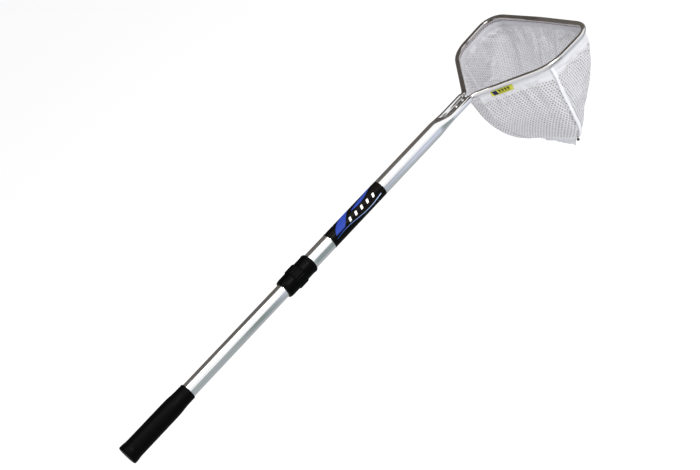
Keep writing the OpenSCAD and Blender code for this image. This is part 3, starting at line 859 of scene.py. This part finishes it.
def linear(grid, q, t):
    """Values of a [q, t] grid, carried on in a straight line beyond its edges."""
    u, w = (q + 1) / 2 * COLS, t * ROWS
    i = np.clip(np.floor(u).astype(int), 0, COLS - 1)
    j = np.clip(np.floor(w).astype(int), 0, ROWS - 1)
    f, g = u - i, w - j
    return ((1 - f) * (1 - g) * grid[i, j] + f * (1 - g) * grid[i + 1, j]
            + (1 - f) * g * grid[i, j + 1] + f * g * grid[i + 1, j + 1])


def flat_map(form):
    """Each grid point's place on the flat cloth: across from the middle thread, and up from the bottom."""
    steps = lengths(np.diff(form, axis=0))
    across = np.concatenate([np.zeros((1, ROWS + 1)), np.cumsum(steps, axis=0)])
    across -= across[COLS // 2]
    rises = lengths(np.diff(form, axis=1))
    up = np.concatenate([np.cumsum(rises[:, ::-1], axis=1)[:, ::-1], np.zeros((COLS + 1, 1))], axis=1)
    return across, up


def unflatten(across, up, a, b):
    """The (q, t) whose flat place is (a, b)."""
    q = np.clip(a / 100, -1.2, 1.2)
    t = 1 - b / 150
    e = 1e-3
    for _ in range(14):
        da = (linear(across, q + e, t) - linear(across, q - e, t)) / (2 * e)
        q = q + np.clip((a - linear(across, q, t)) / np.maximum(da, 20), -0.3, 0.3)
        db = (linear(up, q, t + e) - linear(up, q, t - e)) / (2 * e)
        t = t + np.clip((b - linear(up, q, t)) / np.minimum(db, -40), -0.3, 0.3)
    return q, t


# ---------- the net's cloth ----------
def cell_lattice(a_lo, a_hi, b_lo, b_hi):
    """Centres of the holes: staggered rows, MESH_PITCH apart."""
    rise = MESH_PITCH * math.sqrt(3) / 2
    centres = []
    for row in range(int(b_lo / rise) - 1, int(b_hi / rise) + 2):
        shift = 0.5 * (row % 2)
        for k in range(int(a_lo / MESH_PITCH) - 1, int(a_hi / MESH_PITCH) + 2):
            centres.append(((k + shift) * MESH_PITCH, row * rise))
    return np.array(centres)


CELL_SIDES = 6
BIAS = 15


def net_panel(form, hung, name):
    """A panel of netting. Each opening is a six-sided dip round a small open core, and the ring round the
    core is painted dark as painted shade in the hole.
    """
    across, up = flat_map(form)
    spin = math.radians(BIAS)
    spin = np.array([[math.cos(spin), math.sin(spin)], [-math.sin(spin), math.cos(spin)]])
    half_w, height = np.abs(across).max() + 8, up.max() + 8
    centres = cell_lattice(-half_w - height, half_w + height, -half_w - height, half_w + height) @ spin
    centres = centres[(np.abs(centres[:, 0]) < half_w) & (centres[:, 1] > -8) & (centres[:, 1] < height)]
    turn = np.radians(30 + 60 * np.arange(CELL_SIDES))
    ring = np.stack([np.cos(turn), np.sin(turn)], axis=1) @ spin
    outer = centres[:, None] + ring * MESH_PITCH / math.sqrt(3)
    q, t = unflatten(across, up, outer[..., 0], outer[..., 1])
    inside = (np.abs(q) <= 1) & (t >= 0) & (t <= 1)
    used = np.where(inside.any(axis=1))[0]
    # Openings fade in below the doubled cloth at the hem and stop short of the bottom seam
    depth = t.mean(axis=1) * BAG_DEPTH
    room = (BAG_DEPTH * 0.93 - depth) / 4
    size = np.clip(np.minimum((depth - 4.5) / 6.5, room), 0, 1)
    size = size * size * (3 - 2 * size)
    is_open = inside.all(axis=1) & (size > 0.3)
    # The cells share the points of their outlines
    keys = np.round(outer[used].reshape(-1, 2) * 50).astype(np.int64)
    _, first, index = np.unique(keys, axis=0, return_index=True, return_inverse=True)
    index = index.reshape(len(used), CELL_SIDES)
    flat = outer[used].reshape(-1, 2)[first]
    edge_count = len(flat)
    full, plain = used[is_open[used]], used[~is_open[used]]
    stretch = (size[full] * (1 + 0.06 * rng.standard_normal(len(full))))[:, None, None] * [0.97, 1.05]
    dips = centres[full][:, None] + ring * HOLE_R * stretch
    cores = centres[full][:, None] + ring * CORE_R * stretch + 0.1 * rng.standard_normal((len(full), 1, 2))
    flat = np.concatenate([flat, dips.reshape(-1, 2), cores.reshape(-1, 2), centres[plain]])
    q, t = unflatten(across, up, flat[:, 0], flat[:, 1])
    q, t = np.clip(q, -1, 1), np.clip(t, 0, 1)
    middle = on_grid(hung, q, t)
    e = 4e-3
    dq = on_grid(hung, np.clip(q + e, -1, 1), t) - on_grid(hung, np.clip(q - e, -1, 1), t)
    dt = on_grid(hung, q, np.clip(t + e, 0, 1)) - on_grid(hung, q, np.clip(t - e, 0, 1))
    normal = unit(np.cross(dq, dt))
    ring_count = len(full) * CELL_SIDES
    half = np.full(len(flat), STRAND_HALF)
    half[edge_count:edge_count + ring_count] = 0.12
    half[edge_count + ring_count:edge_count + 2 * ring_count] = 0.08
    dip_of = {cell: edge_count + n * CELL_SIDES for n, cell in enumerate(full)}
    heart_of = {cell: edge_count + 2 * ring_count + n for n, cell in enumerate(plain)}
    faces, marks = [], []
    for row, cell in zip(index, used):
        for m in range(CELL_SIDES):
            n = (m + 1) % CELL_SIDES
            if cell in dip_of:
                dip = dip_of[cell]
                core = dip + ring_count
                # Mark 1: the ring from the dip to the open core wears the painted shade of the hole
                faces += [(row[m], row[n], dip + n, dip + m), (dip + m, dip + n, core + n, core + m)]
                marks += [0, 1]
            else:
                faces.append((row[m], row[n], heart_of[cell]))
                marks.append(0)
    kept = [k for k, face in enumerate(faces) if face_area(middle, face) > 1e-4]
    faces, marks = [faces[k] for k in kept], [marks[k] for k in kept]
    skin, walls = thicken(middle, normal, half, faces, flat, edge_count)
    return make_piece(name, skin, NET_CLOTH, "net_white", name.replace("mesh", "net"), sharp=60,
                      second=HOLE_SHADE_CLOTH, marks=marks + marks + walls)


def face_area(points, face):
    a, b, c = points[face[0]], points[face[1]], points[face[2]]
    area = lengths(np.cross(b - a, c - a))
    if len(face) == 4:
        area += lengths(np.cross(c - a, points[face[3]] - a))
    return area


def thicken(middle, normal, half, faces, flat, edge_count):
    """Both sides of a cloth with holes, and walls along its open edges, with 1 for each wall of a hole, which
    wears the painted shade of the holes.
    """
    count = len(middle)
    points = np.concatenate([middle + normal * half[:, None], middle - normal * half[:, None]])
    edges = {}
    for face in faces:
        for a, b in zip(face, face[1:] + face[:1]):
            key = (min(a, b), max(a, b))
            edges[key] = None if key in edges else (a, b)
    walls = [(a, b, b + count, a + count) for a, b in filter(None, edges.values())]
    marks = [int(a >= edge_count) for a, b, _, _ in walls]
    all_faces = faces + [tuple(i + count for i in reversed(face)) for face in faces] + walls
    both = np.concatenate([flat, flat])
    corners = np.fromiter((i for face in all_faces for i in face), int)
    used = np.unique(corners)
    renumber = np.full(2 * count, -1)
    renumber[used] = np.arange(len(used))
    all_faces = [tuple(int(renumber[i]) for i in face) for face in all_faces]
    return (points[used], all_faces, both[corners]), marks


def declare_panel(form):
    across, up = flat_map(form)


# ---------- the hem, tapes, flap and tag ----------
def ripple(s, seed):
    """A smooth uneven wave along a length in millimetres, from about -1 to 1."""
    waves = ((31.0, 0.5), (53.0, 0.8), (19.0, 0.3), (83.0, 0.6))
    total = 0
    for k, (span, size) in enumerate(waves):
        total = total + size * np.sin(2 * np.pi * s / span + seed * (k + 1))
    return total / 1.6


HEM_TOP = -2.4
HEM_LOW = -HEM_DEPTH - 0.6
HEM_RUN = HEM_TOP - HEM_LOW


def hem_puff(k):
    """Half the hem's thickness at a share k of the way down it."""
    return 0.5 + 0.22 * math.sin(math.pi * k) - 0.1 * (k > 0.95)


def hem_sway(d, k):
    """How far the hem swings sideways at a length d, a share k of the way down."""
    return 0.55 * ripple(d, 1.3) * k ** 1.5


def make_hem():
    """The folded edge of the net, which comes out of the hoop's slot and hangs in a soft ripple."""
    frames = loop_frames(HEM_START, 2.5)
    s = run_lengths(frames[:, :2])
    levels = np.linspace(0, 1, 9)
    outlines = []
    for d in s:
        left, right = [], []
        for k in levels:
            z = HEM_TOP - HEM_RUN * k
            puff, sway = hem_puff(k), hem_sway(d, k)
            pucker = 0.12 * math.sin(2 * math.pi * d / 4.6) * k
            left.append((sway + puff + pucker, z))
            right.append((sway - puff + pucker, z))
        outlines.append(left[::-1] + right)
    skin = loft(sweep(frames, outlines))
    return make_piece("hem_cloth", skin, HEM_CLOTH, "hem_white", "hem_band", sharp=60), float(s[-1])


def stitch(a, b, r, lift):
    """One stitch: a short thread that arches from a to b, lifted along lift at its middle."""
    a, b, lift = (np.asarray(v, float) for v in (a, b, lift))
    run = unit(b - a)
    side = unit(np.cross(run, lift))
    rise = np.cross(side, run)
    rings = []
    for k, size in ((0, 0.35), (0.12, 0.9), (0.5, 1.0), (0.88, 0.9), (1, 0.35)):
        centre = a + (b - a) * k + lift * math.sin(math.pi * k)
        angles = np.linspace(0, 2 * np.pi, 6, endpoint=False)
        rings.append([centre + r * size * (math.cos(t) * side + math.sin(t) * rise) for t in angles])
    return loft(rings)


INNER_ROW_Z = -5.7
OUTER_ROW_Z = -12.4


def make_hem_stitches(name, z, side, material, pitch, length, radius):
    """A row of stitches along the hem; side is 1 on the inside of the hoop and -1 on the outside."""
    frames = loop_frames(HEM_START + 2, 1.0)
    s = run_lengths(frames[:, :2])
    parts = []
    for start in np.arange(1.0, s[-1] - length, pitch):
        ends = []
        for d in (start, start + length):
            f = [np.interp(d, s, frames[:, k]) for k in (0, 1, 2)]
            out = np.array([-math.sin(f[2]), math.cos(f[2]), 0]) * -side
            k = (HEM_TOP - z) / HEM_RUN
            off, sway = hem_puff(k) + 0.1, hem_sway(d, k)
            base = np.array([JOINT_X + f[0], f[1], z + 0.25 * rng.uniform(-1, 1)])
            ends.append((base + out * (off - sway * side), out))
        parts.append(stitch(ends[0][0], ends[1][0], radius, ends[0][1] * 0.2))
    return make_piece(name, join(parts), material, "hem_white", sharp=80)


TAPE_STITCH_LEN = 2.6
TAPE_STITCH_PITCH = 4.2


def tape_height(x, s, sign):
    """The tape's height over the seam at a share x of its half width and a length s."""
    return 1.35 + 0.35 * (1 - x * x) + 0.5 * x * ripple(s, 2.1 + sign)


def make_tape(name, sign, node):
    """The tape over a side seam, from the hoop's underside to the bottom corner."""
    t = np.linspace(-0.07, 0.985, 60)
    q = np.full_like(t, float(sign))
    line = on_grid(front_hung, q, np.clip(t, 0, 1))
    line[:, 2] += np.where(t < 0, -t * (BAG_DEPTH - HEM_DEPTH), 0)
    s = t * (BAG_DEPTH - HEM_DEPTH)
    grid = []
    for x in np.linspace(-1, 1, 7):
        offset = np.stack([
            x * TAPE_W / 2 + 0.7 * ripple(s, 0.4), sign * tape_height(x, s, sign), np.zeros_like(s)
        ], axis=1)
        grid.append(line + offset)
    piece = make_piece(name, slab(grid, 0.75), TAPE_CLOTH, "tape_white", node, sharp=70)
    rows = []
    for x in (-0.72, 0.72):
        for d in np.arange(2.0, 138.0, TAPE_STITCH_PITCH):
            ends = []
            for at in (d, d + TAPE_STITCH_LEN):
                p = np.array([np.interp(at, s, line[:, k]) for k in range(3)])
                lift = float(tape_height(x, at, sign)) + 0.38
                ends.append(p + [x * TAPE_W / 2 + 0.7 * float(ripple(at, 0.4)), sign * lift, 0])
            rows.append(stitch(ends[0], ends[1], 0.2, [0, sign * 0.12, 0]))
    seam = make_piece(name + "_stitches", join(rows), THREAD_WHITE, "tape_white", sharp=80)
    return [piece, seam]


def make_flap():
    """The two panels' edges below the bottom seam, puckered by the seam and curling a little."""
    q = np.linspace(-1, 1, 121)
    seam = on_grid(rear_hung, q, np.ones_like(q))
    s = seam[:, 1]
    grid = []
    for k in np.linspace(0, 1, 9):
        drop = FLAP_DEPTH * (0.55 + 0.45 * np.abs(q) ** 2) + 0.5 * ripple(s * 2, 0.7)
        drop = drop * (1 - 0.6 * np.clip((np.abs(q) - 0.9) / 0.1, 0, 1) ** 1.5)
        curl = 1.9 * k * ripple(s * 1.5, 3.3) - 2.0 * k * k
        z = 1.0 - k * (drop + 1.0)
        inward = 1 - 0.02 * k
        grid.append(np.stack([seam[:, 0] + curl, seam[:, 1] * inward, seam[:, 2] + z], axis=1))
    return make_piece("bottom_hem", slab(grid, 0.9), HEM_CLOTH, "net_white", "bottom_flap", sharp=70)


def make_tag():
    """The woven tag, sewn on at its two ends and bowed a little between them."""
    start = HEM_START + 18
    grid = []
    for v in np.linspace(0, 1, 9):
        row = []
        for u in np.linspace(0, 1, 37):
            p = along(start + u * TAG_LEN) * [1, -1, -1]
            out = np.array([math.sin(p[2]), -math.cos(p[2])])
            bow = 0.75 + 0.35 * math.sin(math.pi * u) + 0.12 * math.sin(5 * u + 3 * v) + 0.25 * (1 - v) * u
            row.append((JOINT_X + p[0] + out[0] * bow, p[1] + out[1] * bow, -5 - TAG_H * (1 - v)))
        grid.append(row)
    grid = np.swapaxes(np.array(grid), 0, 1)
    piece = make_piece("woven_tag", slab(grid, 0.5), TAG_CLOTH, "tag_yellow", "sewn_tag", sharp=70)
    rows = []
    for u in (2, -3):
        for v in np.arange(1, 8):
            end = grid[u, v - 1] * 0.3 + grid[u, v] * 0.7
            out = np.array([0, -0.42, 0])
            rows.append(stitch(grid[u, v] + out, end + out, 0.16, [0, -0.1, 0]))
    seam = make_piece("tag_stitches", join(rows), THREAD_WHITE, "tag_yellow", sharp=80)
    return [piece, seam]


def make_bead():
    """The small toggle that closes the right end of the bottom seam."""
    low, high = box("drain_bead")
    centre = (low + high) / 2
    profile = rounded([
        (-2.2, 0.8, 0.2), (-2.2, 1.7, 0.7), (-0.9, 2.4, 0.6), (-0.35, 2.4, 0.2), (-0.25, 2.15, 0.1),
        (0.25, 2.15, 0.1), (0.35, 2.4, 0.2), (0.9, 2.4, 0.6), (2.2, 1.7, 0.7), (2.2, 0.8, 0.2)
    ], 4)
    skin = upright(profile, 48, 1, centre)
    return make_piece("bottom_toggle", skin, BEAD, "bead_grey", "drain_bead")


# ---------- build ----------
make_grip()
make_lower_pole()
make_twist_nut()
make_lock_collar()
make_upper_pole()
make_label()
make_rivets()
make_hoop()
for node, material in (
    ("guide_plug", PLUG), ("plug_pin", STEEL), ("lock_collet", NYLON), ("compression_ring", ACETAL),
    ("hem_cord", CORD_CLOTH),
):
    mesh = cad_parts[node].data
    mesh.materials.clear()
    mesh.materials.append(material)

rear_panel = net_panel(rear_form, rear_hung, "rear_mesh")
front_panel = net_panel(front_form, front_hung, "front_mesh")
hem, hem_run = make_hem()
inner_row = make_hem_stitches(
    "hem_stitches_inner", INNER_ROW_Z, 1, THREAD_DARK, pitch=4.4, length=2.9, radius=0.6)
outer_row = make_hem_stitches(
    "hem_stitches_outer", OUTER_ROW_Z, -1, THREAD_WHITE, pitch=3.6, length=2.4, radius=0.2)
right_tape = make_tape("side_tape_right", -1, "seam_tape_right")
left_tape = make_tape("side_tape_left", 1, "seam_tape_left")
flap = make_flap()
tag = make_tag()
make_bead()
declare_panel(rear_form)
declare_panel(front_form)


# ---------- floor, light and camera ----------
FLOOR_DROP = 0.9
FLOOR_HALF = 30.0


def make_floor():
    low = cad_box[0][2] - FLOOR_DROP
    mesh = bpy.data.meshes.new("floor")
    corners = [(x * FLOOR_HALF, y * FLOOR_HALF, low) for x, y in ((-1, -1), (1, -1), (1, 1), (-1, 1))]
    mesh.from_pydata(corners, [], [(0, 1, 2, 3)])
    mesh.materials.append(Shader("floor_paper", (0.96, 0.96, 0.96), 0.9, Specular_IOR_Level=0.1).material)
    floor = add_object("floor", mesh)
    floor.visible_glossy = False


def make_world():
    """A white studio. Only reflections see its bright sky, dark wall and grey below the horizon."""
    world = bpy.data.worlds.new("studio")
    world.use_nodes = True
    n = Nodes(world.node_tree)
    way = n.add("ShaderNodeTexCoord").outputs["Generated"]
    x, y, z = n.add("ShaderNodeSeparateXYZ", {0: way}).outputs
    ahead = n.add("ShaderNodeVectorMath", {0: way, 1: (0, -0.974, 0.225)}, operation="DOT_PRODUCT")
    seen = n.add("ShaderNodeLightPath").outputs

    def mix(source, low, high, a, b):
        return n.blend(n.ramp(source, low, high, smooth=True), a, b)

    dark = (0.158, 0.142, 0.128)
    front = mix(x, 0.20, 0.29, (0.44, 0.49, 0.50), (0.26, 0.32, 0.30))
    front = mix(x, 0.33, 0.41, front, (0.74, 0.79, 0.92))
    front = mix(y, -0.60, -0.42, front, (0.52, 0.55, 0.57))
    front = mix(x, -0.05, -0.40, front, (0.90, 0.93, 1.0))
    behind = mix(z, -0.5, -0.2, (0.50, 0.52, 0.53), dark)
    low = mix(y, 0.0, 0.35, front, behind)
    high = mix(ahead.outputs["Value"], -0.04, 0.04, dark, (1.18, 1.18, 1.18))
    studio = mix(z, 0.10, 0.20, low, high)
    shown = n.blend(seen["Is Glossy Ray"], (0.98, 0.98, 0.99), studio)
    shown = n.blend(seen["Is Camera Ray"], shown, (0.97, 0.97, 0.97))
    n.put(n.tree.nodes["Background"].inputs["Color"], shown)
    bpy.context.scene.world = world


FLAG_R = 55


def make_flag(name, sign, first, last):
    """A dark cloth held round one side of the hoop. Only its reflection in the rail is seen."""
    rail = along(np.linspace(HEM_START + 10, HALF_LEN - 50, 16))
    turn = np.radians(np.linspace(first, last, 12))
    arc = FLAG_R * np.stack([np.cos(turn), np.sin(turn)], axis=1)
    cloth = Shader(name + "_cloth", (0.12, 0.105, 0.095), 1.0, Specular_IOR_Level=0.0)
    skin = loft(sweep(rail, arc) * [1, sign, 1], wrap=False, caps=False)
    flag = make_mesh(name, skin, cloth.material)
    flag.visible_camera = flag.visible_diffuse = flag.visible_shadow = flag.visible_transmission = False


def make_light(name, place, aim, size, power, shines=True):
    lamp = bpy.data.lights.new(name, "AREA")
    lamp.shape = "DISK"
    lamp.size = size
    lamp.energy = power
    light = add_object(name, lamp)
    light.location = place
    light.rotation_euler = (Vector(aim) - Vector(place)).to_track_quat("-Z", "Y").to_euler()
    light.visible_glossy = shines


def make_camera():
    """The camera looks down along the pole from the right, and is rolled clockwise."""
    azimuth, elevation, roll = (math.radians(a) for a in (-23.04, 33.35, -33.63))
    distance = 1.7
    aim = Vector((0.3723, -0.0195, -0.0041))
    back = Vector((
        math.sin(azimuth) * math.cos(elevation), -math.cos(azimuth) * math.cos(elevation), math.sin(elevation)
    ))
    level = Vector((math.cos(azimuth), math.sin(azimuth), 0))
    rise = back.cross(level)
    right = math.cos(roll) * level + math.sin(roll) * rise
    up = math.cos(roll) * rise - math.sin(roll) * level
    camera = add_object("camera", bpy.data.cameras.new("camera"))
    camera.data.lens = 61.7
    camera.data.sensor_width = 36
    camera.data.clip_end = 100
    spin = Matrix((right, up, back)).transposed().to_4x4()
    camera.matrix_world = Matrix.Translation(aim + distance * back) @ spin
    bpy.context.scene.camera = camera


make_floor()
make_world()
make_flag("flag_far", 1, 15, 215)
make_flag("flag_near", -1, 62, 122)
make_light("key", (0.85, -1.1, 1.35), (0.3, 0, 0), 0.35, 14)
make_light("top", (0.5, -0.4, 2.2), (0.6, 0, 0), 1.4, 12)
make_light("fill", (0.45, -0.85, 1.7), (0.76, 0, -0.06), 1.3, 9, shines=False)
make_camera()
bpy.context.scene.view_settings.view_transform = "Standard"

bpy.context.view_layer.update()
